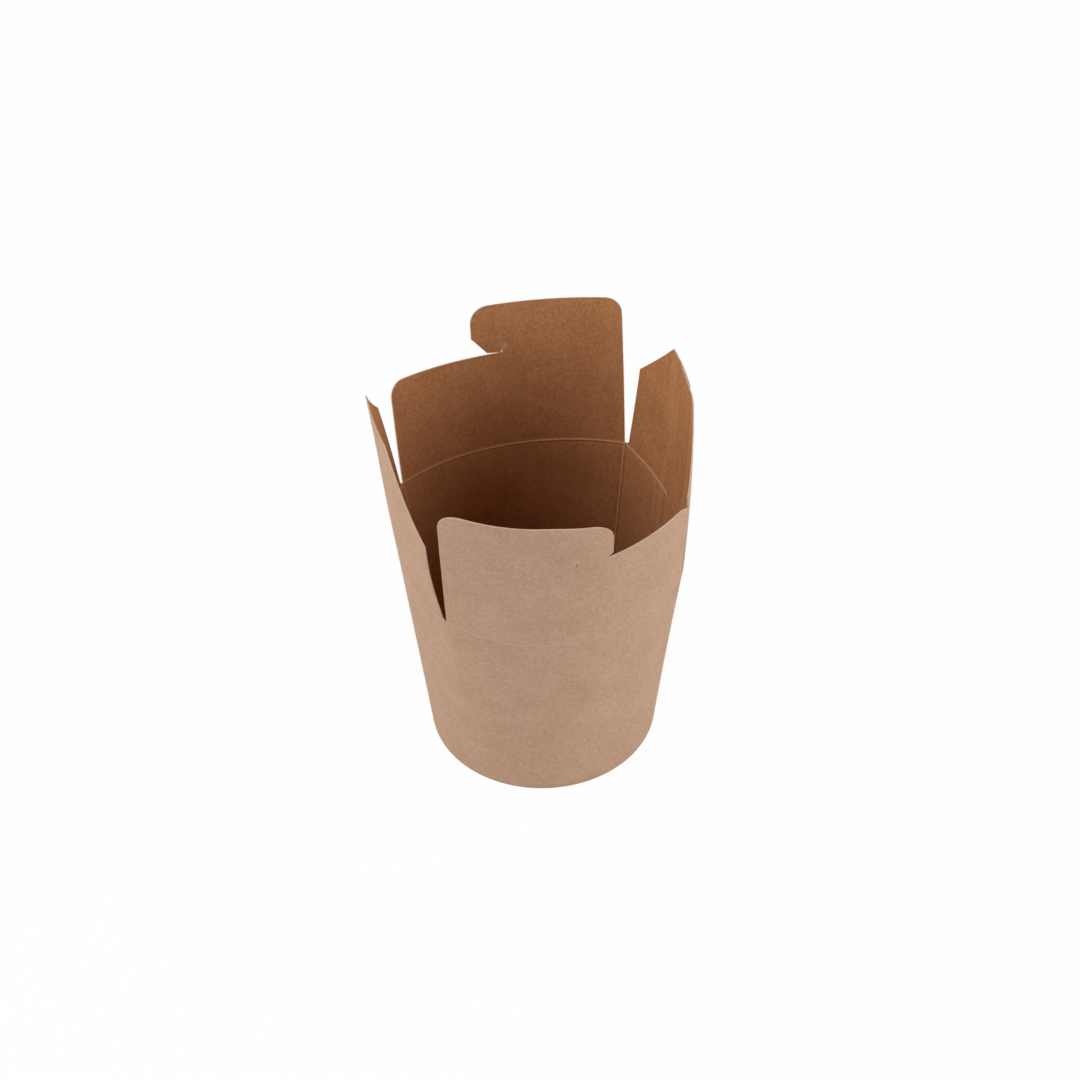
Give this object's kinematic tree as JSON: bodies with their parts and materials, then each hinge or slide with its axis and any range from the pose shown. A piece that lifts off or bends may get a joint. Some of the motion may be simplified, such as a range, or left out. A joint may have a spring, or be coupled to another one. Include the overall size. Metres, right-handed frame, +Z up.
{
  "type": "kebab box",
  "caption": "Takeaway box of plain kraft card with a round recessed base, a wall that turns square at the mouth, hooked lock flaps and tuck flaps standing open.",
  "frame": {"origin": "middle of the round standing edge, on the surface the box stands on", "axes": "+Z up, out of the mouth; the front lock flap, with its tab on the left as seen from outside, faces -Y; the seamed side faces +X"},
  "size_m": [0.1184, 0.1288, 0.1634],
  "materials": {
    "kraft_card": "matt uncoated kraft card, darker brown inside",
    "base_card": "matt brown kraft card"
  },
  "bodies": {
    "box": {"sleeve": "kraft_card", "base_disc": "base_card"},
    "front_flap": {"front_lock_flap": "kraft_card"},
    "back_flap": {"back_lock_flap": "kraft_card"},
    "left_flap": {"left_side_flap": "kraft_card"},
    "right_flap": {"right_side_flap": "kraft_card"}
  },
  "joints": [
    {"name": "front_fold", "type": "hinge", "parent": "box", "child": "front_flap", "pos_m": [0, -0.039, 0.0986], "axis": [-1, 0, 0], "range_deg": [0, 57]},
    {"name": "back_fold", "type": "hinge", "parent": "box", "child": "back_flap", "pos_m": [0, 0.039, 0.0986], "axis": [1, 0, 0], "range_deg": [0, 57]},
    {"name": "left_fold", "type": "hinge", "parent": "box", "child": "left_flap", "pos_m": [-0.0445, 0, 0.0986], "axis": [0, 1, 0], "range_deg": [0, 93]},
    {"name": "right_fold", "type": "hinge", "parent": "box", "child": "right_flap", "pos_m": [0.0445, 0, 0.0986], "axis": [0, -1, 0], "range_deg": [0, 102]}
  ]
}
